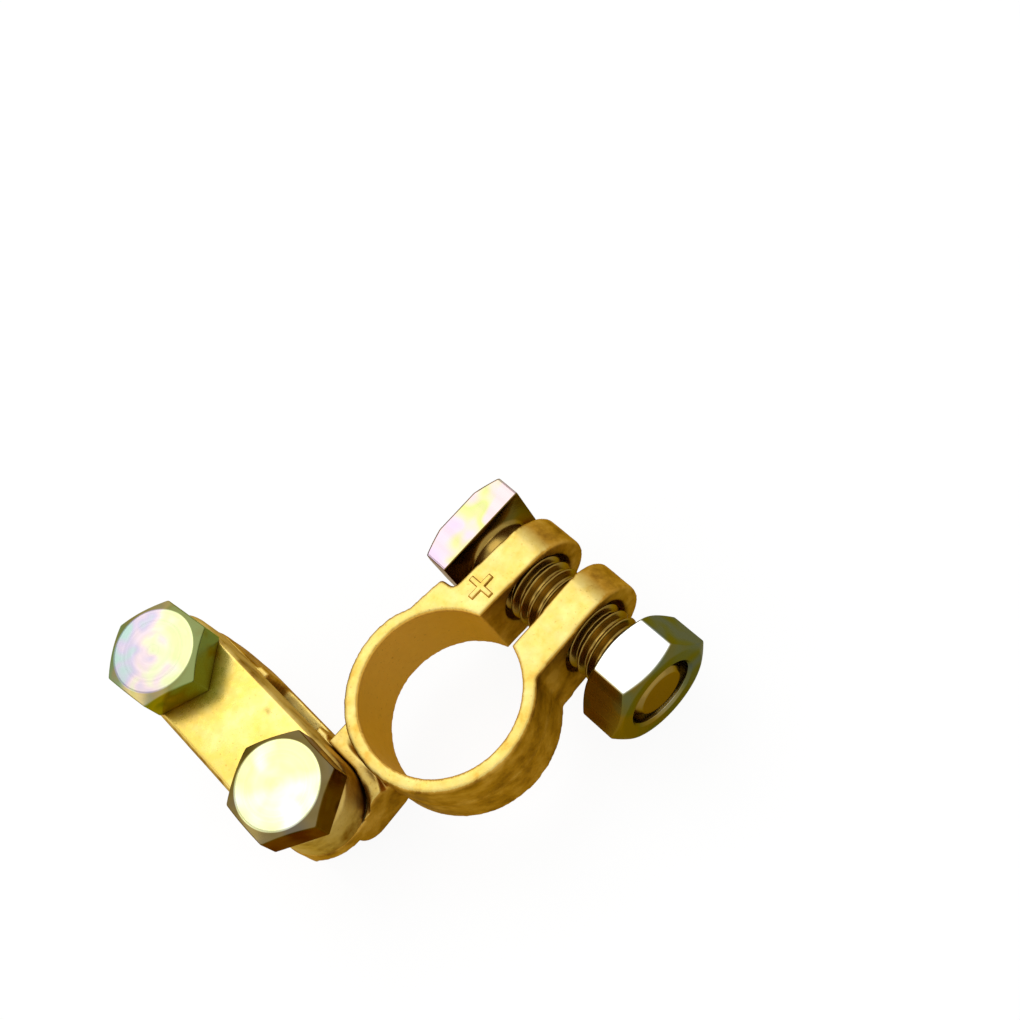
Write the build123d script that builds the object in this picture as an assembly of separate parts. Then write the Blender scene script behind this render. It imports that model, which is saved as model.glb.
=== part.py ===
# Battery terminal clamp: a cast brass post clamp with a cable saddle, its pressure
# plate, two hexagon cable bolts, and a square headed pinch bolt with its nut.
#
# Frame, in millimetres: the origin is on the axis of the post bore, level with the
# underside of the ring. +X runs from the bore to the ears, +Y along the pinch bolt
# towards its head, and +Z up, along the bore. The saddle hangs lower than the ring.
import math
import os

from build123d import *

# Post ring
BORE_D = 17.9
WALL = 1.6
RING_H = 10.2

# Ears, measured from the slot at the bore out to their ends
EAR_END_X = 21.8
EAR_ROOT_X = 5.0
SLOT_W_BORE = 5.0
SLOT_W_END = 3.9
EAR_OUT_BORE = 7.15
EAR_OUT_END = 6.35
EAR_NOSE_FLAT = 0.2
SHOULDER_FROM = (3.2, 9.9)
SHOULDER_TO = (7.9, 8.9)
SHOULDER_FOOT_X = 9.3

# Cable saddle, under the joint with the plate. The bolts stand a little off its
# middle line, away from the ring.
SADDLE_X = -17.3
BOLT_X = -17.7
BOLT_NEAR_Y = 4.15
BOLT_PITCH = 22.3
SADDLE_W = 10.8

# The saddle's underside: lips past the bolts, and a belly between them
BELLY_Z = -5.3
BELLY_R = 2.6
NEAR_LIP_Z = 2.5
FAR_LIP_Z = 1.9
NEAR_LIP_OUT = 3.55
NEAR_BELLY_IN = 0.45
FAR_LIP_OUT = 2.75
FAR_BELLY_IN = 1.25

# Cable trough across the saddle, and the raised rim round its mouth
TROUGH_W = 9.0
TROUGH_DEPTH = 4.4
TROUGH_R = 1.4
RIM_W = 12.5
RIM_DEPTH = 5.2
RIM_OUT = 0.4
RIM_R = 1.5

# Neck from the saddle to the ring, raised beside the plate
NECK_FROM_Y = -0.7
NECK_TO_Y = 7.8
NECK_BASE_Z = -1.1
NECK_RISE = 1.5
NECK_FOOT_R = 2.6
NECK_EDGE_R = 1.0
NECK_ROOT_R = 0.8

# Pressure plate, its top level with the ring, its ends measured from the bolts
PLATE_W = 10.4
PLATE_NEAR_END = 5.45
PLATE_FAR_END = 5.65
PLATE_T = 5.8
PLATE_EDGE = 0.35

# Cable bolts, M6
CABLE_D = 6.0
CABLE_AF = 10.5
CABLE_HEAD = 4.2
CABLE_LENGTH = 12.0
CABLE_HOLE_D = 6.6
CABLE_TURN_NEAR = 29.0
CABLE_TURN_FAR = 38.0

# Pinch bolt and nut, M8. The bolt stands open by its slack, a share of it at the head.
PINCH_X = 15.4
PINCH_D = 8.0
PINCH_HEAD_AF = 11.4
PINCH_HEAD = 4.0
PINCH_HEAD_SHARE = 0.3426
PINCH_LENGTH = 25.0
PINCH_HOLE_D = 9.0
NUT_AF = 12.0
NUT_T = 5.5
NUT_PAST_END = 0.2
NUT_TURN = 3.0

# Chamfers turned on the heads and the nut
DRESS_ANGLE = 30.0
DRESS_SHARE = 0.95
SQUARE_DRESS = 1.12

# Clearances, and how far the saddle shows past the plate's far end
THREAD_FIT = 0.05
PLATE_GAP = 0.25
SADDLE_SHOWS = 0.1

# Worked out from the sizes above
BORE_R = BORE_D / 2
RING_R = BORE_R + WALL
TOP_Z = RING_H
JOINT_Z = RING_H - PLATE_T
PINCH_Z = RING_H / 2
EAR_NOSE_R = (RING_H - EAR_NOSE_FLAT) / 2
BOLT_FAR_Y = BOLT_NEAR_Y + BOLT_PITCH
MID_Y = (BOLT_NEAR_Y + BOLT_FAR_Y) / 2
PLATE_FROM_Y = BOLT_NEAR_Y - PLATE_NEAR_END
PLATE_TO_Y = BOLT_FAR_Y + PLATE_FAR_END
PLATE_TOP_Z = JOINT_Z + PLATE_T
PINCH_SLACK = PINCH_LENGTH + NUT_PAST_END - NUT_T - 2 * EAR_OUT_BORE
PINCH_HEAD_Y = EAR_OUT_BORE + PINCH_HEAD_SHARE * PINCH_SLACK
NUT_Y = PINCH_HEAD_Y - PINCH_LENGTH - NUT_PAST_END


def block(x0, x1, y0, y1, z0, z1):
    """A plain block between two corners."""
    size = (x1 - x0, y1 - y0, z1 - z0)
    at = Pos((x0 + x1) / 2, (y0 + y1) / 2, (z0 + z1) / 2)
    return at * Box(*size)


def upright(x, y, r, z0, z1):
    """A round bar along Z."""
    return Pos(x, y, (z0 + z1) / 2) * Cylinder(r, z1 - z0)


def along_y(x, z, r, y0, y1):
    """A round bar along Y."""
    return Pos(x, (y0 + y1) / 2, z) * Rot(90, 0, 0) * Cylinder(r, y1 - y0)


def prism_xy(points, z0, z1):
    """A prism standing on an outline in the XY plane."""
    face = make_face(Polyline(*points, close=True))
    return Pos(0, 0, z0) * extrude(face, z1 - z0, dir=(0, 0, 1))


def prism_yz(points, x0, x1):
    """A prism along X from an outline given as (y, z)."""
    corners = [(x0, y, z) for y, z in points]
    face = make_face(Polyline(*corners, close=True))
    return extrude(face, x1 - x0, dir=(1, 0, 0))


def edges_at(shape, axis, picks):
    """The straight edges along an axis that pass through the picked places.

    Each pick gives two of the coordinates, None standing for the axis itself.
    """
    found = []
    for edge in shape.edges().filter_by(axis):
        middle = edge.center()
        for pick in picks:
            gaps = [abs(m - p) for m, p in zip(middle, pick) if p is not None]
            if max(gaps) < 0.05:
                found.append(edge)
                break
    return found


def stadium(width, past_near, past_far, z0, z1):
    """An upright bar with round ends, reaching past the two ends of the plate."""
    length = PLATE_TO_Y - PLATE_FROM_Y + past_near + past_far
    middle = (PLATE_TO_Y + past_far + PLATE_FROM_Y - past_near) / 2
    flat = SlotOverall(length, width)
    return Pos(SADDLE_X, middle, z0) * Rot(0, 0, 90) * extrude(flat, z1 - z0)


def ears():
    """Both ears with their rounded ends, before the bore and the slot are cut."""
    corners = [
        (EAR_ROOT_X, -EAR_OUT_BORE),
        (EAR_END_X, -EAR_OUT_END),
        (EAR_END_X, EAR_OUT_END),
        (SHOULDER_FOOT_X, EAR_OUT_BORE),
        SHOULDER_TO,
        SHOULDER_FROM,
        (EAR_ROOT_X - 3.0, 0),
    ]
    solid = prism_xy(corners, 0, TOP_Z)
    side = block(0, EAR_END_X, -20, 20, 0, TOP_Z)
    noses = edges_at(side, Axis.Y, [(EAR_END_X, None, 0), (EAR_END_X, None, TOP_Z)])
    return solid & fillet(noses, EAR_NOSE_R)


def slot():
    """The wedge that parts the ears, wider at the bore."""
    slope = (SLOT_W_END - SLOT_W_BORE) / 2 / (EAR_END_X - BORE_R)
    half_in = SLOT_W_BORE / 2 - slope * BORE_R
    half_out = SLOT_W_BORE / 2 + slope * (EAR_END_X + 2 - BORE_R)
    corners = [
        (0, -half_in),
        (EAR_END_X + 2, -half_out),
        (EAR_END_X + 2, half_out),
        (0, half_in),
    ]
    return prism_xy(corners, -1, TOP_Z + 1)


def saddle():
    """The saddle block with its rounded belly, solid before the trough is cut."""
    turns = [
        (BOLT_NEAR_Y - NEAR_LIP_OUT, NEAR_LIP_Z),
        (BOLT_NEAR_Y + NEAR_BELLY_IN, BELLY_Z),
        (BOLT_FAR_Y - FAR_BELLY_IN, BELLY_Z),
        (BOLT_FAR_Y + FAR_LIP_OUT, FAR_LIP_Z),
    ]
    low_y = PLATE_FROM_Y - 2
    high_y = PLATE_TO_Y + 2
    ends = [(high_y, FAR_LIP_Z), (high_y, JOINT_Z), (low_y, JOINT_Z), (low_y, NEAR_LIP_Z)]
    belly = prism_yz(turns + ends, SADDLE_X - SADDLE_W, SADDLE_X + SADDLE_W)
    rounded = edges_at(belly, Axis.X, [(None, y, z) for y, z in turns])
    belly = fillet(rounded, BELLY_R)
    return stadium(SADDLE_W, 0, SADDLE_SHOWS, BELLY_Z, JOINT_Z) & belly


def rim():
    """The raised rim round the mouth of the trough, on the side of the ring."""
    face_x = SADDLE_X + SADDLE_W / 2
    half = RIM_W / 2
    low = JOINT_Z - RIM_DEPTH
    solid = block(
        face_x - 0.5, face_x + RIM_OUT, MID_Y - half, MID_Y + half, low, JOINT_Z
    )
    lower = edges_at(
        solid, Axis.X, [(None, MID_Y - half, low), (None, MID_Y + half, low)]
    )
    return fillet(lower, RIM_R)


def trough():
    """The cable trough, running right across the saddle and out of its rim."""
    half = TROUGH_W / 2
    low = JOINT_Z - TROUGH_DEPTH
    solid = block(
        SADDLE_X - 10, SADDLE_X + 10, MID_Y - half, MID_Y + half, low, JOINT_Z + 1
    )
    lower = edges_at(
        solid, Axis.X, [(None, MID_Y - half, low), (None, MID_Y + half, low)]
    )
    return fillet(lower, TROUGH_R)


def neck():
    """The web that carries the saddle on the ring, cut back under the ring."""
    top_z = JOINT_Z + NECK_RISE
    corners = [
        (SADDLE_X, PLATE_FROM_Y),
        (-8.0, NECK_FROM_Y),
        (-6.6, NECK_TO_Y),
        (SADDLE_X, NECK_TO_Y),
    ]
    foot = block(SADDLE_X, 0, -20, 20, NECK_BASE_Z, top_z)
    foot = fillet(edges_at(foot, Axis.Y, [(SADDLE_X, None, NECK_BASE_Z)]), NECK_FOOT_R)
    web = prism_xy(corners, NECK_BASE_Z, top_z) & foot
    side = web.faces().sort_by(Axis.Y)[0]
    lower = [edge for edge in side.edges() if edge.center().Z < NECK_BASE_Z + NECK_FOOT_R / 2]
    web = fillet(lower, NECK_EDGE_R)
    web = web - upright(0, 0, RING_R, NECK_BASE_Z - 1, 0)
    room = stadium(PLATE_W + 2 * PLATE_GAP, PLATE_GAP, PLATE_GAP, JOINT_Z, PLATE_TOP_Z)
    return web - room


def ring_and_neck():
    """The ring with the neck on it, and the fillet where the neck's top meets it."""
    solid = upright(0, 0, RING_R, 0, TOP_Z) + neck()
    root_z = JOINT_Z + NECK_RISE
    rounds = solid.edges().filter_by(GeomType.CIRCLE)
    root = [e for e in rounds if abs(e.radius - RING_R) < 0.01 and abs(e.center().Z - root_z) < 0.01]
    return fillet(root, NECK_ROOT_R)


def clamp_body():
    """The casting: ring, ears, neck and saddle in one piece."""
    solid = ring_and_neck() + ears() + saddle() + rim()
    solid = solid - trough()
    solid = solid - upright(0, 0, BORE_R, NECK_BASE_Z - 1, TOP_Z + 1)
    solid = solid - slot()
    solid = solid - along_y(PINCH_X, PINCH_Z, PINCH_HOLE_D / 2, -12, 12)
    for y in (BOLT_NEAR_Y, BOLT_FAR_Y):
        solid = solid - upright(BOLT_X, y, CABLE_D / 2, BELLY_Z - 1, JOINT_Z + 1)
    return solid


def pressure_plate():
    """The bar that is drawn down on the cable."""
    solid = stadium(PLATE_W, 0, 0, JOINT_Z, PLATE_TOP_Z)
    rims = solid.faces().sort_by(Axis.Z)[-1].edges()
    solid = chamfer(rims, PLATE_EDGE)
    for y in (BOLT_NEAR_Y, BOLT_FAR_Y):
        hole = upright(BOLT_X, y, CABLE_HOLE_D / 2, JOINT_Z - 1, PLATE_TOP_Z + 1)
        solid = solid - hole
    return solid


def hexagon(across_flats, height):
    """A hexagon bar on the XY plane, a corner on +X."""
    return extrude(RegularPolygon(across_flats / math.sqrt(3), 6), height)


def dressed(across_flats, height, both_ends):
    """The round chamfers turned on a head or a nut, as one solid to meet."""
    flat_r = across_flats / 2 * DRESS_SHARE
    far_r = across_flats
    drop = (far_r - flat_r) * math.tan(math.radians(DRESS_ANGLE))
    reach = height + drop
    top = Pos(0, 0, height - drop / 2) * Cone(far_r, flat_r, drop)
    shape = top + Pos(0, 0, height - drop - reach / 2) * Cylinder(far_r, reach)
    if both_ends:
        low = Pos(0, 0, drop / 2) * Cone(flat_r, far_r, drop)
        shape = shape & (low + Pos(0, 0, drop + reach / 2) * Cylinder(far_r, reach))
    return shape


def bolt_shank(diameter, length):
    """A shank from z = 0 down, with a dressed end."""
    radius = diameter / 2 - THREAD_FIT
    shank = Pos(0, 0, -length / 2) * Cylinder(radius, length)
    tip = shank.faces().sort_by(Axis.Z)[0].edges()
    return chamfer(tip, 0.1 * diameter)


def cable_bolt(y, turned):
    """A hexagon bolt, its head resting on the plate."""
    head = hexagon(CABLE_AF, CABLE_HEAD) & dressed(CABLE_AF, CABLE_HEAD, False)
    solid = head + bolt_shank(CABLE_D, CABLE_LENGTH)
    return Pos(BOLT_X, y, PLATE_TOP_Z) * Rot(0, 0, turned) * solid


def pinch_bolt():
    """The square headed bolt through both ears."""
    square = Pos(0, 0, PINCH_HEAD / 2) * Box(PINCH_HEAD_AF, PINCH_HEAD_AF, PINCH_HEAD)
    head = square & dressed(PINCH_HEAD_AF * SQUARE_DRESS, PINCH_HEAD, False)
    solid = head + bolt_shank(PINCH_D, PINCH_LENGTH)
    return Pos(PINCH_X, PINCH_HEAD_Y, PINCH_Z) * Rot(-90, 0, 0) * solid


def pinch_nut():
    """The hexagon nut, a flat facing up."""
    solid = hexagon(NUT_AF, NUT_T) & dressed(NUT_AF, NUT_T, True)
    solid = solid - Pos(0, 0, NUT_T / 2) * Cylinder(PINCH_D / 2, NUT_T + 2)
    wide = PINCH_D / 2 + 0.5
    for z, low_r, high_r in ((0.25, wide, wide - 0.5), (NUT_T - 0.25, wide - 0.5, wide)):
        solid = solid - Pos(0, 0, z) * Cone(low_r, high_r, 0.5)
    return Pos(PINCH_X, NUT_Y, PINCH_Z) * Rot(-90, 0, 0) * Rot(0, 0, NUT_TURN) * solid


PARTS = {
    "clamp_body": clamp_body(),
    "pressure_plate": pressure_plate(),
    "cable_bolt_near": cable_bolt(BOLT_NEAR_Y, CABLE_TURN_NEAR),
    "cable_bolt_far": cable_bolt(BOLT_FAR_Y, CABLE_TURN_FAR),
    "pinch_bolt": pinch_bolt(),
    "pinch_nut": pinch_nut(),
}

os.makedirs("parts", exist_ok=True)
for name, shape in PARTS.items():
    solids = shape.solids()
    size = shape.bounding_box().size
    print(name, len(solids), "solid", [round(v, 2) for v in size], round(shape.volume, 1))
    export_step(solids[0], f"parts/{name}.step")
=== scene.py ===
"""Battery terminal clamp: its cast, pressed and plated surfaces, on a pale studio floor.

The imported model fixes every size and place. This file dresses it: the brass casting and
the pressure plate get the soft edges and the skin of real castings, and the bolts and
the nut get dressed heads, true threads and their yellow zinc film. Lengths are in
millimetres in the classes and become metres where a mesh is written.
"""

import itertools
import logging
import math
from dataclasses import dataclass, field
from enum import Enum
from typing import Any, Sequence

import bmesh
import bpy
import numpy as np
from mathutils import Matrix, Vector


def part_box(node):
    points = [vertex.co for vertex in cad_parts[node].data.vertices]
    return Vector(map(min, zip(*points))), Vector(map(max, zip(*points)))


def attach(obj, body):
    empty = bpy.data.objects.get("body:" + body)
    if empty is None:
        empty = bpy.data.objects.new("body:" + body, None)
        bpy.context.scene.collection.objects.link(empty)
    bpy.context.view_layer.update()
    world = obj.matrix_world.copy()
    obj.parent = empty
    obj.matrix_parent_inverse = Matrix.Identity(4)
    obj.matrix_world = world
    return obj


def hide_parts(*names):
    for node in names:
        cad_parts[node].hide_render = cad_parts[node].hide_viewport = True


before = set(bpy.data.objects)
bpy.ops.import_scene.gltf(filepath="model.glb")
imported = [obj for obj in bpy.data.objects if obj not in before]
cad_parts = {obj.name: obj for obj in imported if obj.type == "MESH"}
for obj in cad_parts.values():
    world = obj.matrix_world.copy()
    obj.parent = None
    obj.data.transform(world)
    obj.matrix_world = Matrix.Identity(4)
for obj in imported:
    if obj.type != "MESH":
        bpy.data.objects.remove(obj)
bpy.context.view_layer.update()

LOG = logging.getLogger("battery_clamp")
MM = 0.001
Colour = tuple[float, float, float, float]


# Nodes and colours


def srgb(code: str) -> Colour:
    """Turn an sRGB hex colour into linear RGBA.

    Args:
        code: Six hex digits after a hash sign.

    Returns:
        Linear red, green and blue, and an alpha of 1.
    """
    parts = [int(code[i : i + 2], 16) / 255 for i in (1, 3, 5)]
    linear = [p / 12.92 if p <= 0.04045 else ((p + 0.055) / 1.055) ** 2.4 for p in parts]
    return (linear[0], linear[1], linear[2], 1.0)


def add(
    tree: bpy.types.NodeTree,
    kind: str,
    inputs: dict[str | int, Any] | None = None,
    stops: Sequence[tuple[float, str]] = (),
    **settings: Any,
) -> bpy.types.Node:
    """Add a node with its settings, its colour stops and its links.

    Args:
        tree: The node tree.
        kind: The node's type.
        inputs: For each input, by name or number, a value or the socket that feeds it.
        stops: Places and sRGB colours of a colour ramp.
        **settings: Properties of the node itself.

    Returns:
        The new node.
    """
    node = tree.nodes.new(kind)
    for key, value in settings.items():
        setattr(node, key, value)
    for key, value in (inputs or {}).items():
        if isinstance(value, bpy.types.NodeSocket):
            tree.links.new(value, node.inputs[key])
        else:
            node.inputs[key].default_value = value
    for number, (place, code) in enumerate(stops):
        ramp = node.color_ramp.elements
        stop = ramp[number] if number < 2 else ramp.new(place)
        stop.position = place
        stop.color = srgb(code)
    return node


def blank_material(name: str) -> tuple[bpy.types.Material, bpy.types.NodeTree]:
    """Make an empty node material.

    Args:
        name: The finish's name.

    Returns:
        The material and its node tree.
    """
    material = bpy.data.materials.new(name)
    material.use_nodes = True
    material.node_tree.nodes.clear()
    return material, material.node_tree


# Finishes

# Sockets of a Mix node that blends colours: share, first, second and result
SHARE, FIRST, SECOND, BLENDED = 0, 6, 7, 2


@dataclass(frozen=True)
class CastBrass:
    """Yellow brass, sand cast and tumbled, with its upper faces finished by linishing.

    The mould leaves a fine grain and small pores. Its brown skin stays on the flanks,
    and its corners are darkened with painted shade. The upper faces are a smoother
    yellow from linishing. They are also painted paler as painted light, while the
    flanks are painted darker as painted shade. A bore that is reamed after casting has
    lost the skin and shows a brighter gold.

    The spans in pairs run from one state to the other: the normal's upward part from
    painted-shade flank to painted-light top, the noise's level from sound to pored, the
    radius past the bore's from reamed to cast, and the openness of a corner, from 0 to
    1, from warm or dark painted shade to clean.
    """

    name: str
    # crown and crown_worn colour the upper faces, and flank, flank_worn and deep the rest: the
    # paler tops are painted light and the darker flanks are painted shade
    crown: str = "#CDB25C"
    crown_worn: str = "#D2BF78"
    flank: str = "#AE8028"
    flank_worn: str = "#C89C42"
    deep: str = "#80581A"
    reamed: str = "#DAAB48"
    # The next two colours are painted shade, laid into corners by ambient occlusion
    warm: str = "#A8650E"
    painted_shade: str = "#2E1C04"
    edge_tint: str = "#F2D48A"
    linished_and_lit: tuple[float, float] = (0.84, 0.995)
    crown_rough: float = 0.30
    flank_rough: float = 0.38
    smear: float = 0.9
    smear_rough: float = 0.2
    grain: float = 0.28
    grain_depth: float = 0.014
    pore: float = 0.3
    pored: tuple[float, float] = (0.66, 0.8)
    pore_dark: float = 0.45
    pore_drop: float = 1.2
    mottle: float = 2.6
    # recess, the two spans below and by_neighbours set where the painted shade falls: in corners,
    # and with by_neighbours also under and between neighbouring parts
    recess: float = 1.3
    warm_open: tuple[float, float] = (0.4, 0.82)
    warm_share: float = 0.75
    shade_open: tuple[float, float] = (0.2, 0.62)
    shade_share: float = 0.92
    reamed_radius: float = 0.0
    ream_margin: tuple[float, float] = (0.1, 0.3)
    by_neighbours: bool = False

    def build(self) -> bpy.types.Material:
        """Build the material.

        Returns:
            The material.
        """
        material, tree = blank_material(self.name)
        place = add(tree, "ShaderNodeTexCoord")
        spot = place.outputs["Object"]
        turn = add(tree, "ShaderNodeSeparateXYZ", {0: place.outputs["Normal"]})
        # Painted light and shade: upward faces get the paler crown colours and a smoother
        # roughness, and the others get the darker flank colours
        upward = add(
            tree,
            "ShaderNodeMapRange",
            {
                "Value": turn.outputs["Z"],
                "From Min": self.linished_and_lit[0],
                "From Max": self.linished_and_lit[1],
            },
            interpolation_type="SMOOTHSTEP",
        )
        level = add(
            tree, "ShaderNodeVectorMath", {0: spot, 1: (1.0, 1.0, 0.0)}, operation="MULTIPLY"
        )
        radius = add(
            tree, "ShaderNodeVectorMath", {0: level.outputs["Vector"]}, operation="LENGTH"
        )
        bored = add(
            tree,
            "ShaderNodeMapRange",
            {
                "Value": radius.outputs["Value"],
                "From Min": (self.reamed_radius + self.ream_margin[0]) * MM,
                "From Max": (self.reamed_radius + self.ream_margin[1]) * MM,
                "To Min": 1.0,
                "To Max": 0.0,
            },
        )
        mottle = add(
            tree,
            "ShaderNodeTexNoise",
            {"Vector": spot, "Scale": 1 / (self.mottle * MM), "Detail": 5.0, "Roughness": 0.62},
        )
        flank = add(
            tree,
            "ShaderNodeValToRGB",
            {"Fac": mottle.outputs["Fac"]},
            stops=((0.32, self.deep), (0.5, self.flank), (0.68, self.flank_worn)),
        )
        crown = add(
            tree,
            "ShaderNodeValToRGB",
            {"Fac": mottle.outputs["Fac"]},
            stops=((0.3, self.flank_worn), (0.42, self.crown), (0.7, self.crown_worn)),
        )
        walls = add(
            tree,
            "ShaderNodeMix",
            {
                SHARE: bored.outputs["Result"],
                FIRST: flank.outputs["Color"],
                SECOND: srgb(self.reamed),
            },
            data_type="RGBA",
        )
        skin = add(
            tree,
            "ShaderNodeMix",
            {
                SHARE: upward.outputs["Result"],
                FIRST: walls.outputs[BLENDED],
                SECOND: crown.outputs["Color"],
            },
            data_type="RGBA",
        )
        pores = add(
            tree,
            "ShaderNodeTexNoise",
            {"Vector": spot, "Scale": 1 / (self.pore * MM), "Detail": 1.0},
        )
        pitted = add(
            tree,
            "ShaderNodeMapRange",
            {
                "Value": pores.outputs["Fac"],
                "From Min": self.pored[0],
                "From Max": self.pored[1],
                "To Max": self.pore_dark,
            },
        )
        specked = add(
            tree,
            "ShaderNodeMix",
            {
                SHARE: pitted.outputs["Result"],
                FIRST: skin.outputs[BLENDED],
                SECOND: srgb(self.deep),
            },
            data_type="RGBA",
        )
        # Painted shade: ambient occlusion darkens corners, first towards the warm colour and then
        # towards the dark one
        hollow = add(
            tree,
            "ShaderNodeAmbientOcclusion",
            {"Distance": self.recess * MM},
            samples=8,
            only_local=not self.by_neighbours,
        )
        warmed = add(
            tree,
            "ShaderNodeMapRange",
            {
                "Value": hollow.outputs["AO"],
                "From Min": self.warm_open[0],
                "From Max": self.warm_open[1],
                "To Min": self.warm_share,
                "To Max": 0.0,
            },
        )
        tinted = add(
            tree,
            "ShaderNodeMix",
            {
                SHARE: warmed.outputs["Result"],
                FIRST: specked.outputs[BLENDED],
                SECOND: srgb(self.warm),
            },
            data_type="RGBA",
        )
        soiled = add(
            tree,
            "ShaderNodeMapRange",
            {
                "Value": hollow.outputs["AO"],
                "From Min": self.shade_open[0],
                "From Max": self.shade_open[1],
                "To Min": self.shade_share,
                "To Max": 0.0,
            },
        )
        colour = add(
            tree,
            "ShaderNodeMix",
            {
                SHARE: soiled.outputs["Result"],
                FIRST: tinted.outputs[BLENDED],
                SECOND: srgb(self.painted_shade),
            },
            data_type="RGBA",
        )
        smear = add(
            tree,
            "ShaderNodeTexNoise",
            {"Vector": spot, "Scale": 1 / (self.smear * MM), "Detail": 3.0},
        )
        base = add(
            tree,
            "ShaderNodeMapRange",
            {
                "Value": upward.outputs["Result"],
                "To Min": self.flank_rough,
                "To Max": self.crown_rough,
            },
        )
        rough = add(
            tree,
            "ShaderNodeMath",
            {0: smear.outputs["Fac"], 1: self.smear_rough, 2: base.outputs["Result"]},
            operation="MULTIPLY_ADD",
        )
        sand = add(
            tree,
            "ShaderNodeTexNoise",
            {"Vector": spot, "Scale": 1 / (self.grain * MM), "Detail": 2.0, "Roughness": 0.55},
        )
        sunk = add(
            tree,
            "ShaderNodeMath",
            {0: pitted.outputs["Result"], 1: -self.pore_drop, 2: sand.outputs["Fac"]},
            operation="MULTIPLY_ADD",
        )
        relief = add(
            tree,
            "ShaderNodeBump",
            {"Strength": 0.6, "Distance": self.grain_depth * MM, "Height": sunk.outputs["Value"]},
        )
        metal = add(
            tree,
            "ShaderNodeBsdfPrincipled",
            {
                "Metallic": 1.0,
                "Base Color": colour.outputs[BLENDED],
                "Roughness": rough.outputs["Value"],
                "Specular Tint": srgb(self.edge_tint),
                "Normal": relief.outputs["Normal"],
            },
        )
        add(tree, "ShaderNodeOutputMaterial", {"Surface": metal.outputs["BSDF"]})
        return material


class Lie(Enum):
    """Which way a fastener's axis lies."""

    UP = "up"
    ALONG_Y = "along_y"


class LitSide(Enum):
    """Which faces of a plated piece get the pale film as painted light; the rest get painted
    shade.
    """

    TOP = "top"
    ROUND_Y = "round_y"


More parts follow.
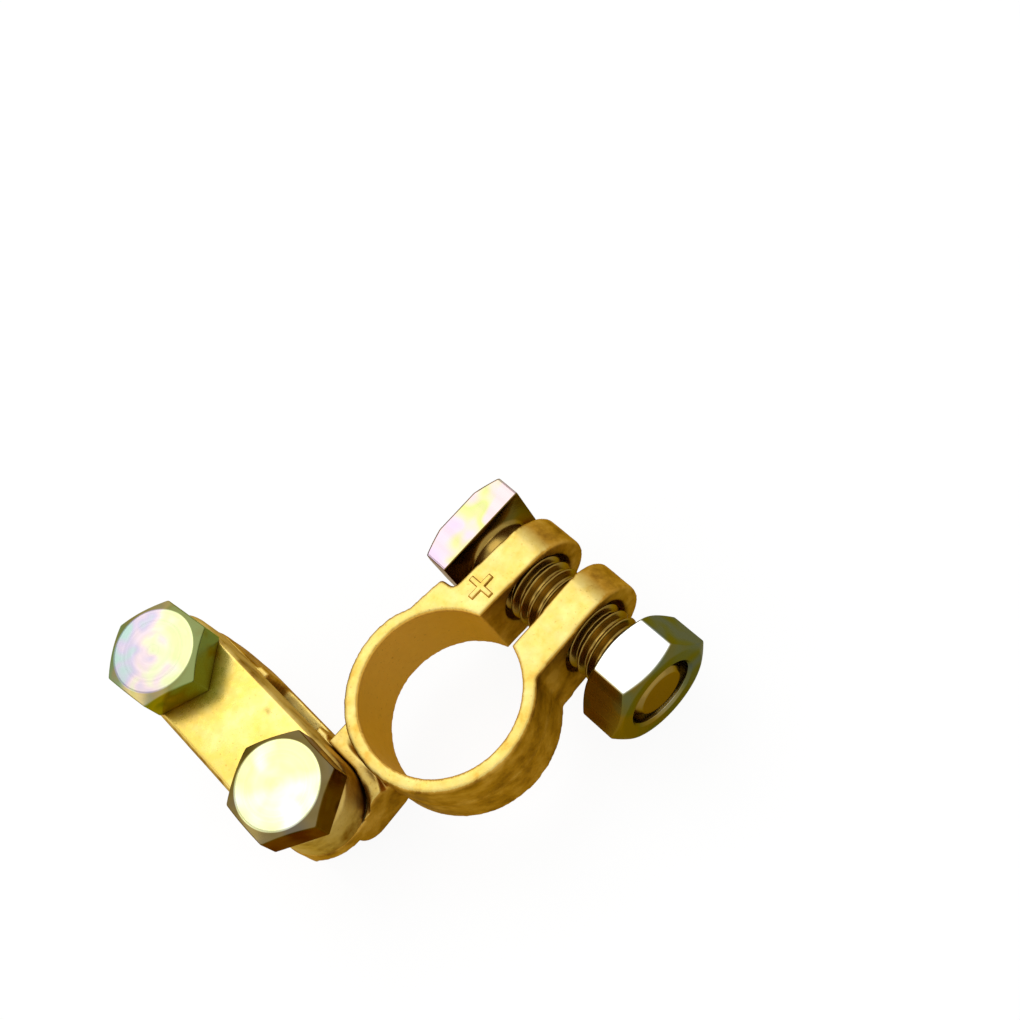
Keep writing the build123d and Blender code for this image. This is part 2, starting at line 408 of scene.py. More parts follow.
@dataclass(frozen=True)
class YellowZinc:
    """Steel with electroplated zinc and a yellow chromate film.

    The film is a few hundred nanometres thick and uneven. Where it is thin it is pale,
    with patches of rose, blue and green a few millimetres wide, and it thickens across a
    face, so the tints follow each other. Where it is thick it is a brassy olive brown.
    Turning leaves fine rings on a head.

    The tints are read from two ramps, pale and thick, at one level: a cloudy noise, held
    round its middle to the share patchy, plus sweep for each millimetre along each axis.
    The pale ramp is painted on faces turned to the lit side as painted light, and the
    darker thick ramp on the others as painted shade. The spans in pairs run from one
    state to the other: a face's turn to the lit side from thick to pale, or to the share
    bevel where it slopes, the radius past pale_from from rubbed to pale, the rings' level
    from smooth to rough, and the openness of a corner, from 0 to 1, from painted shade
    to clean. Only the shank is rubbed: the places less than shank_below past the seat
    along the axis.
    """

    name: str
    # pale is painted on the lit faces as painted light, and thick on the rest as painted shade
    pale: tuple[tuple[float, str], ...]
    thick: tuple[tuple[float, str], ...]
    centre: tuple[float, float, float]
    lie: Lie = Lie.UP
    lit_side: LitSide = LitSide.TOP
    pale_from: float = 0.0
    sweep: tuple[float, float, float] = (0.0, 0.0, 0.0)
    rubbed: str = "#9E8240"
    edge_tint: str = "#C8A860"
    # The next colour is painted shade, laid into corners by ambient occlusion
    painted_shade: str = "#1E1606"
    patch: float = 3.4
    patchy: float = 0.7
    flat_face: tuple[float, float] = (0.88, 0.97)
    sloped_face: tuple[float, float] = (0.6, 0.8)
    bevel: float = 0.14
    pale_margin: tuple[float, float] = (-0.2, 0.1)
    rubbed_share: float = 0.75
    shank_below: float = 0.1
    ring: float = 0.45
    ring_level: tuple[float, float] = (0.3, 0.7)
    ring_depth: float = 0.006
    rough: float = 0.2
    rough_spread: float = 0.08
    # recess and the two spans below set where the painted shade falls in the piece's corners
    recess: float = 0.8
    shade_open: tuple[float, float] = (0.2, 0.68)
    shade_share: float = 0.88

    def build(self) -> bpy.types.Material:
        """Build the material.

        Returns:
            The material.
        """
        material, tree = blank_material(self.name)
        place = add(tree, "ShaderNodeTexCoord")
        spot = place.outputs["Object"]
        turn = add(tree, "ShaderNodeSeparateXYZ", {0: place.outputs["Normal"]})
        shift = add(
            tree,
            "ShaderNodeMapping",
            {"Vector": spot, "Location": tuple(-v * MM for v in self.centre)},
        )
        across = add(
            tree,
            "ShaderNodeVectorMath",
            {
                0: shift.outputs["Vector"],
                1: (1.0, 1.0, 0.0) if self.lie is Lie.UP else (1.0, 0.0, 1.0),
            },
            operation="MULTIPLY",
        )
        radius = add(
            tree, "ShaderNodeVectorMath", {0: across.outputs["Vector"]}, operation="LENGTH"
        )
        cloud = add(
            tree,
            "ShaderNodeTexNoise",
            {"Vector": spot, "Scale": 1 / (self.patch * MM), "Detail": 1.0, "Distortion": 0.2},
        )
        slope = add(
            tree,
            "ShaderNodeVectorMath",
            {0: shift.outputs["Vector"], 1: tuple(v / MM for v in self.sweep)},
            operation="DOT_PRODUCT",
        )
        mean = add(
            tree,
            "ShaderNodeMath",
            {0: slope.outputs["Value"], 1: (1 - self.patchy) / 2},
            operation="ADD",
        )
        film = add(
            tree,
            "ShaderNodeMath",
            {0: cloud.outputs["Fac"], 1: self.patchy, 2: mean.outputs["Value"]},
            operation="MULTIPLY_ADD",
        )
        pale = add(tree, "ShaderNodeValToRGB", {"Fac": film.outputs["Value"]}, stops=self.pale)
        thick = add(tree, "ShaderNodeValToRGB", {"Fac": film.outputs["Value"]}, stops=self.thick)
        # Painted light and shade: faces turned to the lit side get the pale film, and the rest get
        # the darker thick film
        if self.lit_side is LitSide.TOP:
            facing = turn.outputs["Z"]
        else:
            along = add(tree, "ShaderNodeMath", {0: turn.outputs["Y"]}, operation="ABSOLUTE")
            facing = add(
                tree, "ShaderNodeMath", {0: 1.0, 1: along.outputs["Value"]}, operation="SUBTRACT"
            ).outputs["Value"]
        shows = add(
            tree,
            "ShaderNodeMapRange",
            {
                "Value": facing,
                "From Min": self.flat_face[0],
                "From Max": self.flat_face[1],
            },
            interpolation_type="SMOOTHSTEP",
        )
        sloped = add(
            tree,
            "ShaderNodeMapRange",
            {
                "Value": facing,
                "From Min": self.sloped_face[0],
                "From Max": self.sloped_face[1],
                "To Max": self.bevel,
            },
        )
        light = add(
            tree,
            "ShaderNodeMath",
            {0: shows.outputs["Result"], 1: sloped.outputs["Result"]},
            operation="MAXIMUM",
        )
        beyond = add(
            tree,
            "ShaderNodeMapRange",
            {
                "Value": radius.outputs["Value"],
                "From Min": (self.pale_from + self.pale_margin[0]) * MM,
                "From Max": (self.pale_from + self.pale_margin[1]) * MM,
            },
        )
        share = add(
            tree,
            "ShaderNodeMath",
            {0: light.outputs["Value"], 1: beyond.outputs["Result"]},
            operation="MULTIPLY",
        )
        inner = add(
            tree,
            "ShaderNodeMath",
            {0: beyond.outputs["Result"], 1: -self.rubbed_share, 2: self.rubbed_share},
            operation="MULTIPLY_ADD",
        )
        along_axis = add(tree, "ShaderNodeSeparateXYZ", {0: shift.outputs["Vector"]})
        height = along_axis.outputs["Z" if self.lie is Lie.UP else "Y"]
        under = add(
            tree,
            "ShaderNodeMath",
            {0: height, 1: self.shank_below * MM},
            operation="LESS_THAN",
        )
        shank = add(
            tree,
            "ShaderNodeMath",
            {0: inner.outputs["Value"], 1: under.outputs["Value"]},
            operation="MULTIPLY",
        )
        sides = add(
            tree,
            "ShaderNodeMix",
            {
                SHARE: shank.outputs["Value"],
                FIRST: thick.outputs["Color"],
                SECOND: srgb(self.rubbed),
            },
            data_type="RGBA",
        )
        plated = add(
            tree,
            "ShaderNodeMix",
            {
                SHARE: share.outputs["Value"],
                FIRST: sides.outputs[BLENDED],
                SECOND: pale.outputs["Color"],
            },
            data_type="RGBA",
        )
        # Painted shade: ambient occlusion darkens the piece's own corners
        hollow = add(
            tree,
            "ShaderNodeAmbientOcclusion",
            {"Distance": self.recess * MM},
            samples=8,
            only_local=True,
        )
        soiled = add(
            tree,
            "ShaderNodeMapRange",
            {
                "Value": hollow.outputs["AO"],
                "From Min": self.shade_open[0],
                "From Max": self.shade_open[1],
                "To Min": self.shade_share,
                "To Max": 0.0,
            },
        )
        colour = add(
            tree,
            "ShaderNodeMix",
            {
                SHARE: soiled.outputs["Result"],
                FIRST: plated.outputs[BLENDED],
                SECOND: srgb(self.painted_shade),
            },
            data_type="RGBA",
        )
        rings = add(
            tree,
            "ShaderNodeTexNoise",
            {"W": radius.outputs["Value"], "Scale": 1 / (self.ring * MM), "Detail": 2.0},
            noise_dimensions="1D",
        )
        rough = add(
            tree,
            "ShaderNodeMapRange",
            {
                "Value": rings.outputs["Fac"],
                "From Min": self.ring_level[0],
                "From Max": self.ring_level[1],
                "To Min": self.rough,
                "To Max": self.rough + self.rough_spread,
            },
        )
        relief = add(
            tree,
            "ShaderNodeBump",
            {"Strength": 0.12, "Distance": self.ring_depth * MM, "Height": rings.outputs["Fac"]},
        )
        metal = add(
            tree,
            "ShaderNodeBsdfPrincipled",
            {
                "Metallic": 1.0,
                "Base Color": colour.outputs[BLENDED],
                "Roughness": rough.outputs["Result"],
                "Specular Tint": srgb(self.edge_tint),
                "Normal": relief.outputs["Normal"],
            },
        )
        add(tree, "ShaderNodeOutputMaterial", {"Surface": metal.outputs["BSDF"]})
        return material


# Mesh making

# A rounding's largest share of a leg, and where its support points stand past its ends
LEG_SHARE, SUPPORT = 0.42, 1.15
# Where the two rings of a shank's end face stand, as shares of its rim's radius
END_RIM, END_POLE = 0.93, 0.02
# The drop of a dressed head's chamfer for each millimetre outwards
CHAMFER = math.tan(math.radians(30))


def surface(name: str, rings: np.ndarray, round_profile: bool = False) -> bpy.types.Object:
    """Skin a grid of points that is closed round its axis.

    Faces point outwards when the profile runs from the top outwards and down, and the
    points of a ring run anticlockwise seen from the top.

    Args:
        name: The object's name.
        rings: The grid (m, n, 3) in millimetres: m rings of n points.
        round_profile: True if the last ring joins the first. If False, both end rings are
            closed with a fan to their middle.

    Returns:
        The object, its mesh in metres.
    """
    count, around = rings.shape[:2]
    points = rings.reshape(-1, 3)
    here = np.arange(count * around).reshape(count, around)
    below = np.roll(here, -1, axis=0) if round_profile else here[1:]
    above = here if round_profile else here[:-1]
    quads = np.stack(
        (above, below, np.roll(below, -1, axis=1), np.roll(above, -1, axis=1)), axis=-1
    ).reshape(-1, 4)
    fans = np.empty((0, 3), dtype=np.int64)
    if not round_profile:
        middles = np.stack((rings[0].mean(axis=0), rings[-1].mean(axis=0)))
        points = np.concatenate((points, middles))
        top, low = here[0], here[-1]
        first = np.full(around, len(points) - 2)
        last = np.full(around, len(points) - 1)
        fans = np.concatenate(
            (
                np.stack((first, top, np.roll(top, -1)), axis=-1),
                np.stack((last, np.roll(low, -1), low), axis=-1),
            )
        )
    mesh = bpy.data.meshes.new(name)
    mesh.vertices.add(len(points))
    mesh.vertices.foreach_set("co", (points * MM).astype(np.float32).ravel())
    corners = np.concatenate((quads.ravel(), fans.ravel())).astype(np.int32)
    sizes = np.concatenate((np.full(len(quads), 4), np.full(len(fans), 3)))
    mesh.loops.add(len(corners))
    mesh.loops.foreach_set("vertex_index", corners)
    mesh.polygons.add(len(sizes))
    mesh.polygons.foreach_set("loop_start", (np.cumsum(sizes) - sizes).astype(np.int32))
    mesh.polygons.foreach_set("use_smooth", np.ones(len(sizes), dtype=bool))
    mesh.update(calc_edges=True)
    mesh.validate()
    made = bpy.data.objects.new(name, mesh)
    bpy.context.scene.collection.objects.link(made)
    return made


def eased(corners: np.ndarray, eases: Sequence[float], steps: int = 5) -> np.ndarray:
    """Round the inner corners of a profile.

    At a corner P with unit vectors u and v along its two legs and an ease e, the sharp
    point is replaced with the curve (1-t)^2 (P+eu) + 2t(1-t) P + t^2 (P+ev), and with a
    support point a little further along each leg that keeps the legs flat. The rounding
    takes at most LEG_SHARE of the shorter leg.

    Args:
        corners: The profile's corners (k, n, 2) as radius and height, for n directions.
        eases: How far the rounding reaches from each of the k - 2 inner corners.
        steps: Points on each curve.

    Returns:
        The finer profile (m, n, 2).
    """
    rows = [corners[0]]
    t = np.linspace(0, 1, steps)[:, None, None]
    for number, ease in enumerate(eases, start=1):
        p = corners[number]
        back = corners[number - 1] - p
        ahead = corners[number + 1] - p
        back_length = np.linalg.norm(back, axis=1, keepdims=True)
        ahead_length = np.linalg.norm(ahead, axis=1, keepdims=True)
        reach = np.minimum(ease, LEG_SHARE * np.minimum(back_length, ahead_length))
        start = p + back / back_length * reach
        end = p + ahead / ahead_length * reach
        rows.append((p + back / back_length * reach * SUPPORT)[None])
        rows.append((1 - t) ** 2 * start + 2 * t * (1 - t) * p + t**2 * end)
        rows.append((p + ahead / ahead_length * reach * SUPPORT)[None])
    rows.append(corners[-1])
    return np.concatenate([r if r.ndim == 3 else r[None] for r in rows])


@dataclass(frozen=True)
class Prism:
    """A regular prism's outline with rounded corners, as a radius round its axis."""

    sides: int
    across_flats: float
    corner_round: float = 0.3
    turned: float = 0.0
    per_side: int = 40
    crowding: float = 2.2

    def angles(self) -> np.ndarray:
        """Directions round the axis, crowded towards the corners.

        In each sector the offset from the corner is half a sector times s to the power
        of the crowding, with its sign, for s in even steps from -1 to 1.

        Returns:
            The directions in radians.
        """
        s = np.linspace(-1, 1, self.per_side, endpoint=False)
        offset = math.pi / self.sides * np.sign(s) * np.abs(s) ** self.crowding
        corner = math.radians(self.turned) + np.arange(self.sides) * 2 * math.pi / self.sides
        return (corner[:, None] + offset[None, :]).ravel()

    def radius(self) -> np.ndarray:
        """Distance to the outline for each direction.

        Off a corner it is the apothem over the cosine of the angle from the flat's
        middle. Near a corner it is the far crossing of the ray with the rounding circle.

        Returns:
            The radius for each of the directions.
        """
        half = math.pi / self.sides
        apothem = self.across_flats / 2
        turn = self.angles() - math.radians(self.turned)
        off = (turn + half) % (2 * half) - half
        seat = (apothem - self.corner_round) / math.cos(half)
        flat = apothem / np.cos(half - np.abs(off))
        inside = np.maximum(self.corner_round**2 - (seat * np.sin(off)) ** 2, 0)
        arc = seat * np.cos(off) + np.sqrt(inside)
        edge = math.atan2(
            self.corner_round * math.sin(half), seat + self.corner_round * math.cos(half)
        )
        return np.where(np.abs(off) < edge, arc, flat)


@dataclass(frozen=True)
class Thread:
    """A right-hand screw thread.

    The depth of cut is a share of the pitch. Crest and flank are shares of the way from
    the middle of a crest to the middle of the root.
    """

    diameter: float
    pitch: float
    from_depth: float
    length: float
    point: float
    fit: float = 0.05
    cut: float = 0.6
    crest: float = 0.125
    flank: float = 0.625
    rows_per_pitch: int = 16

    @property
    def crest_radius(self) -> float:
        """The radius of the thread's crest."""
        return self.diameter / 2 - self.fit

    def profile(self, angles: np.ndarray) -> np.ndarray:
        """The shank from under the head to its dressed end.

        The radius is the crest less the depth of cut times a wave of depth / pitch +
        angle / turn, which has a crest an eighth of a pitch wide, straight flanks and a
        root a quarter of a pitch wide. The cut fades in over one pitch where the thread
        starts, and the end is the smaller of that and a cone.

        Args:
            angles: Directions round the axis, in radians.

        Returns:
            The profile (m, n, 2) as radius and height, from height 0 down.
        """
        plain_length = self.from_depth - self.pitch
        plain = np.linspace(0.0, plain_length, 6)
        rows = int((self.length - plain_length) / self.pitch * self.rows_per_pitch)
        depth = np.concatenate((plain, np.linspace(plain_length, self.length, rows)[1:]))
        phase = depth[:, None] / self.pitch + angles[None, :] / (2 * math.pi)
        from_crest = 1 - np.abs(2 * (phase % 1) - 1)
        groove = np.clip((from_crest - self.crest) / self.flank, 0, 1)
        fade = np.clip((depth - plain_length) / self.pitch, 0, 1)[:, None]
        screw = self.crest_radius - self.cut * self.pitch * fade * groove
        cone = self.crest_radius - self.point + (self.length - depth)[:, None]
        radius = np.minimum(screw, cone)
        height = np.broadcast_to(-depth[:, None], radius.shape)
        return np.stack((radius, height), axis=-1)


def placed(profile: np.ndarray, angles: np.ndarray, seat: Sequence[float], lie: Lie) -> np.ndarray:
    """Carry a profile round its axis and set it in the frame.

    A point of radius r and height h in direction a is (r cos a, r sin a, h), turned so
    that its height runs along the fastener's axis.

    Args:
        profile: The profile (m, n, 2) as radius and height.
        angles: The n directions.
        seat: Where the bearing face's middle is, in millimetres.
        lie: Which way the head points.

    Returns:
        The points (m, n, 3).
    """
    r, h = profile[..., 0], profile[..., 1]
    x, y = r * np.cos(angles), r * np.sin(angles)
    turned = (x, y, h) if lie is Lie.UP else (x, h, -y)
    return np.stack(turned, axis=-1) + np.asarray(seat)


def seat_of(node: str, lie: Lie, reach: float) -> tuple[float, float, float]:
    """Find a fastener's seat from the box of its CAD node.

    Args:
        node: The node.
        lie: Which way the fastener's axis lies.
        reach: How far the piece reaches from its seat along the axis, in millimetres.

    Returns:
        The middle of the bearing face, in millimetres.
    """
    low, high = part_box(node)
    x, y, z = (low + high) / 2 / MM
    return (x, y, high.z / MM - reach) if lie is Lie.UP else (x, high.y / MM - reach, z)


def finish_piece(
    piece: bpy.types.Object,
    material: bpy.types.Material,
    body: str,
    slot: str,
    *nodes: str,
) -> bpy.types.Object:
    """Give a piece its material and its body, and hide the CAD nodes that it stands for.

    Args:
        piece: The piece.
        material: Its finish.
        body: The CAD body that it rides on.
        slot: The record's material slot; not used.
        *nodes: CAD nodes that it replaces.

    Returns:
        The same piece.
    """
    piece.data.materials.clear()
    piece.data.materials.append(material)
    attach(piece, body)
    if nodes:
        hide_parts(*nodes)
    LOG.info("%s: %d faces", piece.name, len(piece.data.polygons))
    return piece


# Smooth steps and noise over whole arrays

# A lattice corner's number is mixed with a large prime per axis, and the result picks one
# row of a table of random numbers
PRIMES = (73856093, 19349663, 83492791)
TABLE_ROWS = 8191


def faded(t: np.ndarray) -> np.ndarray:
    """Step from 0 to 1 as t goes from 0 to 1, by 3t^2 - 2t^3."""
    t = np.clip(t, 0, 1)
    return t * t * (3 - 2 * t)


def picked(cells: np.ndarray) -> np.ndarray:
    """The table row that each lattice cell (n, 3) uses."""
    key = cells * PRIMES
    return (key[:, 0] ^ key[:, 1] ^ key[:, 2]) % TABLE_ROWS


def lumps(points: np.ndarray, cell: float, seed: int) -> np.ndarray:
    """Smooth random lumps.

    Random heights stand on the corners of a cubic lattice, and between the corners they
    are blended with 3t^2 - 2t^3 along each axis.

    Args:
        points: Places (n, 3) in millimetres.
        cell: The lattice's pitch in millimetres.
        seed: Picks the heights.

    Returns:
        Heights from -1 to 1 for each place.
    """
    heights = np.random.default_rng(seed).uniform(-1, 1, TABLE_ROWS)
    scaled = points / cell
    base = np.floor(scaled).astype(np.int64)
    fade = faded(scaled - base)
    total = np.zeros(len(points))
    for corner in itertools.product((0, 1), repeat=3):
        weight = np.where(corner, fade, 1 - fade).prod(axis=1)
        total += weight * heights[picked(base + corner)]
    return total


def bowls(points: np.ndarray, cell: float, radius: float, share: float, seed: int) -> np.ndarray:
    """Scattered round pits.

    Each cell of a cubic lattice may hold one pit at a random place. A pit is the bowl
    (1 - (d/r)^2)^2 of the distance d to its middle, and its radius r is between half of
    the largest and the largest. A row of the table holds the place in the cell, the share
    of the radius's range, and the chance that is held against the share of cells.

    Args:
        points: Places (n, 3) in millimetres.
        cell: The lattice's pitch in millimetres.
        radius: The largest pit's radius, at most half a cell.
        share: The share of cells that hold a pit.
        seed: Picks the places.

    Returns:
        Depths from 0 to 1 for each place.
    """
    table = np.random.default_rng(seed).uniform(0, 1, (TABLE_ROWS, 5))
    scaled = points / cell
    base = np.floor(scaled).astype(np.int64)
    depth = np.zeros(len(points))
    for corner in itertools.product((-1, 0, 1), repeat=3):
        cell_at = base + corner
        row = table[picked(cell_at)]
        place, size, chance = row[:, :3], row[:, 3], row[:, 4]
        reach = radius / cell * (0.5 + 0.5 * size)
        gap = np.linalg.norm(scaled - cell_at - place, axis=1) / reach
        bowl = np.where(chance < share, np.clip(1 - gap**2, 0, 1) ** 2, 0)
        depth = np.maximum(depth, bowl)
    return depth


# Sub-assemblies


@dataclass
class SoftenedSolid:
    """A cast or pressed solid: the CAD form with its edges eased and its skin uneven.

    The edges are softer for a larger voxel and for more passes of the smoothing.
    """

    name: str
    node: str
    body: str
    slot: str
    voxel: float
    passes: int
    merge: float = 0.0005
    waviness: float = 0.03
    wave: float = 3.0
    fine_share: float = 0.4
    finer: float = 2.7
    pit: float = 0.0
    pit_cell: float = 2.2
    pit_radius: float = 0.75
    pit_share: float = 0.2
    seed: int = 3

    def skin(self) -> bpy.types.Object:
        """Copy the CAD mesh, merge it, and skin it again with soft edges.

        Returns:
            The new piece, with no modifier left on it.
        """
        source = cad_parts[self.node].data
        work = bmesh.new()
        work.from_mesh(source)
        bmesh.ops.remove_doubles(work, verts=work.verts, dist=self.merge * MM)
        mesh = bpy.data.meshes.new(self.name + "_rough")
        work.to_mesh(mesh)
        work.free()
        rough = bpy.data.objects.new(self.name + "_rough", mesh)
        bpy.context.scene.collection.objects.link(rough)
        fine = rough.modifiers.new("skin", "REMESH")
        fine.mode = "VOXEL"
        fine.voxel_size = self.voxel * MM
        ease = rough.modifiers.new("ease", "SMOOTH")
        ease.factor = 0.5
        ease.iterations = self.passes
        graph = bpy.context.evaluated_depsgraph_get()
        made = bpy.data.meshes.new_from_object(rough.evaluated_get(graph))
        made.name = self.name
        bpy.data.objects.remove(rough)
        piece = bpy.data.objects.new(self.name, made)
        bpy.context.scene.collection.objects.link(piece)
        return piece

    def shape(self, points: np.ndarray) -> np.ndarray:
        """Change the plain form where the real one departs from it: here, nowhere."""
        return points

    def relief(self, points: np.ndarray, normals: np.ndarray) -> np.ndarray:
        """How far the skin stands out from the plain form.

        Lumps of two sizes, less the pits.

        Args:
            points: Places (n, 3) in millimetres.
            normals: Their outward directions (n, 3).

        Returns:
            Heights in millimetres.
        """
        height = self.waviness * lumps(points, self.wave, self.seed)
        fine = lumps(points, self.wave / self.finer, self.seed + 1)
        height += self.fine_share * self.waviness * fine
        if self.pit:
            pits = bowls(points, self.pit_cell, self.pit_radius, self.pit_share, self.seed)
            height -= self.pit * pits
        return height

    def build(self, material: bpy.types.Material) -> bpy.types.Object:
        """Build the piece in the place of its CAD node.

        Args:
            material: Its finish.

        Returns:
            The piece.
        """
        piece = self.skin()
        mesh = piece.data
        count = len(mesh.vertices)
        points = np.empty(count * 3, np.float32)
        normals = np.empty(count * 3, np.float32)
        mesh.vertices.foreach_get("co", points)
        mesh.vertex_normals.foreach_get("vector", normals)
        points = self.shape(points.reshape(-1, 3).astype(float) / MM)
        normals = normals.reshape(-1, 3).astype(float)
        points += normals * self.relief(points, normals)[:, None]
        mesh.vertices.foreach_set("co", (points * MM).astype(np.float32).ravel())
        mesh.polygons.foreach_set("use_smooth", np.ones(len(mesh.polygons), dtype=bool))
        mesh.update()
        return finish_piece(piece, material, self.body, self.slot, self.node)


@dataclass
class Casting(SoftenedSolid):
    """The ring, ears, neck and saddle, with the mould's parting ridge round them.

    The neck joins the ring to the saddle below and beside the plate. Places are in the
    frame of the solids, and each pair named a fade is where a step starts and how long
    it is.
    """

    ring_outer: float = 10.55
    joint: float = 4.4
    parting_height: float = 5.1
    parting_sway: float = 0.25
    ridge: float = 0.09
    ridge_width: float = 0.22
    wall_reach: float = 0.5
    wall_tilt: float = 0.4
    neck_top: float = 5.9
    neck_end: float = -9.4
    neck_sides: tuple[float, float] = (-3.0, 9.0)
    wall_overlap: float = 0.4
    crest: float = -11.3
    crest_bend: float = 0.085
    crest_bend_from: float = 2.8
    crest_half: float = 0.42
    crest_widening: float = 0.1
    pocket: float = 0.7
    pocket_slope: float = 0.7
    pocket_fade: tuple[float, float] = (1.6, 2.0)
    groove: float = 0.38
    groove_slope: float = 0.6
    groove_fade: tuple[float, float] = (6.5, 2.0)
    wall_fade: float = 2.5
    lip: float = 0.16
    lip_fade: tuple[float, float] = (-11.1, 0.3)
    lip_rise: float = 0.4
    lip_from: float = 1.0
    shoulder: float = 0.85
    shoulder_fade_x: tuple[float, float] = (6.2, 1.6)
    shoulder_fade_y: tuple[float, float] = (7.2, 1.8)
    shoulder_end: float = 12.0
    waist: float = 0.25
    waist_at: float = 4.4
    waist_width: float = 1.3
    waist_fade: tuple[float, float] = (9.4, 0.8)

    def on_neck(self, points: np.ndarray) -> np.ndarray:
        """Tell which places are on the neck, from just inside the ring's outer wall.

        Args:
            points: Places (n, 3) in millimetres.

        Returns:
            True for each place on the neck.
        """
        x, y, _ = points.T
        low, high = self.neck_sides
        outside = np.hypot(x, y) > self.ring_outer - self.wall_overlap
        return outside & (x < self.neck_end) & (y > low) & (y < high)

    def neck_drop(self, points: np.ndarray) -> np.ndarray:
        """How far the neck's top sinks on both sides of its crest.

        The crest runs straight along y and, short of crest_bend_from, bends away from
        the ring with the square of the distance. Towards the plate's round end the top
        falls off into a pocket, and towards the ring it dips to a groove. Heights above
        the joint shrink by the deeper share of the two, and that fades out up the wall.

        Args:
            points: Places (n, 3) in millimetres.

        Returns:
            The drop in millimetres for each place.
        """
        x, y, z = points.T
        short = np.clip(self.crest_bend_from - y, 0, None)
        off = x - self.crest + self.crest_bend * short**2
        half = self.crest_half + self.crest_widening * short
        (pocket_y, pocket_run), (groove_y, groove_run) = self.pocket_fade, self.groove_fade
        pocket = faded((-off - half) / self.pocket_slope) * faded((pocket_y - y) / pocket_run)
        groove = faded((off - half) / self.groove_slope) * faded((groove_y - y) / groove_run)
        share = np.maximum(self.pocket * pocket, self.groove * groove)
        above = np.clip(z - self.joint, 0, self.neck_top - self.joint)
        upper = 1 - faded((z - self.neck_top) / self.wall_fade)
        return above * share * upper * self.on_neck(points)

    def neck_lip(self, points: np.ndarray) -> np.ndarray:
        """How much nearer to the plate the neck's side stands, above the joint.

        The photograph shows hardly any gap there. It is the lip's width times a smooth
        step of each coordinate.

        Args:
            points: Places (n, 3) in millimetres.

        Returns:
            The shift against x, in millimetres, for each place.
        """
        x, y, z = points.T
        start, run = self.lip_fade
        steps = faded((start - x) / run) * faded((z - self.joint) / self.lip_rise)
        return self.lip * self.on_neck(points) * steps * faded(y - self.lip_from)

    def shape(self, points: np.ndarray) -> np.ndarray:
        """Shape the neck's top and side, and draw out the shoulder of the far ear.

        The shoulder is carried along x to the bolt's head, by smooth steps of x and y.
        Where it leaves the ring, the outer wall is drawn in along y by a bell curve of x.

        Args:
            points: Places (n, 3) in millimetres.

        Returns:
            The same places after the change.
        """
        x, y, z = points.T
        (x_from, x_run), (y_from, y_run) = self.shoulder_fade_x, self.shoulder_fade_y
        carried = faded((x - x_from) / x_run) * faded((y - y_from) / y_run)
        drawn = self.shoulder * carried * (x < self.shoulder_end) - self.neck_lip(points)
        bell = np.exp(-(((x - self.waist_at) / self.waist_width) ** 2))
        wall_from, wall_run = self.waist_fade
        outer = faded((np.hypot(x, y) - wall_from) / wall_run) * (y > 0)
        return np.column_stack(
            (x + drawn, y - self.waist * bell * outer, z - self.neck_drop(points))
        )

    def relief(self, points: np.ndarray, normals: np.ndarray) -> np.ndarray:
        """The cast skin and, on the ring's outer wall, the parting ridge.

        The ridge is a bell curve of the height above the ring's underside, on places
        whose distance from the axis is that of the outer wall, and it sways a little up
        and down.

        Args:
            points: Places (n, 3) in millimetres.
            normals: Their outward directions (n, 3).

        Returns:
            Heights in millimetres.
        """
        height = super().relief(points, normals)
        out = np.hypot(points[:, 0], points[:, 1])
        wall = np.clip(1 - np.abs(out - self.ring_outer) / self.wall_reach, 0, 1)
        sway = self.parting_sway * lumps(points * (1, 1, 0), cell=4.0, seed=11)
        bell = np.exp(-(((points[:, 2] - self.parting_height - sway) / self.ridge_width) ** 2))
        upright = np.abs(normals[:, 2]) < self.wall_tilt
        return height + self.ridge * bell * wall * upright


@dataclass
class Pressing(SoftenedSolid):
    """The pressure plate, with a small dent in its top between the bolts."""

    dent_at: tuple[float, float] = (-14.14, 13.38)
    dent_depth: float = 0.07
    dent_radius: float = 0.45

    def relief(self, points: np.ndarray, normals: np.ndarray) -> np.ndarray:
        """The pressed skin, less the dent, a bell curve of the distance from its middle.

        Args:
            points: Places (n, 3) in millimetres.
            normals: Their outward directions (n, 3).

        Returns:
            Heights in millimetres.
        """
        away = np.linalg.norm(points[:, :2] - self.dent_at, axis=1) / self.dent_radius
        dent = self.dent_depth * np.exp(-(away**2)) * (normals[:, 2] > 0.5)
        return super().relief(points, normals) - dent


@dataclass
class PolaritySign:
    """The plus sign cast on top of the far ear."""

    centre: tuple[float, float] = (11.03, 4.75)
    arm_x: float = 1.65
    arm_y: float = 1.6
    half_width: float = 0.34
    top: float = 10.42
    sunk: float = 10.05
    steps: tuple[tuple[float, float], ...] = ((0.12, 0.0), (0.02, 0.09), (0.0, 0.2))
    soft: float = 0.05

    def outline(self, inset: float) -> np.ndarray:
        """The cross's outline, moved inwards.

        Args:
            inset: How far its edge is moved in.

        Returns:
            Twelve corners (12, 2), anticlockwise.
        """
        w = self.half_width - inset
        a, b = self.arm_x - inset, self.arm_y - inset
        corners = (
            (a, -w), (a, w), (w, w), (w, b), (-w, b), (-w, w),
            (-a, w), (-a, -w), (-w, -w), (-w, -b), (w, -b), (w, -w),
        )  # fmt: skip
        return np.array(corners) + self.centre

    def build(self, material: bpy.types.Material) -> bpy.types.Object:
        """Build the sign: its outline at four heights, drawn in towards the top.

        Each step is an inset and how far below the top it is, and the last outline is
        sunk into the ear.

        Args:
            material: The casting's finish.

        Returns:
            The piece.
        """
        levels = [(inset, self.top - below) for inset, below in self.steps]
        rings = [
            np.column_stack((self.outline(inset), np.full(12, height)))
            for inset, height in (*levels, (0.0, self.sunk))
        ]
        piece = surface("polarity_sign", np.stack(rings))
        soften = piece.modifiers.new("soften", "BEVEL")
        soften.width = self.soft * MM
        soften.segments = 2
        soften.limit_method = "ANGLE"
        return finish_piece(piece, material, "casting", "cast_brass")


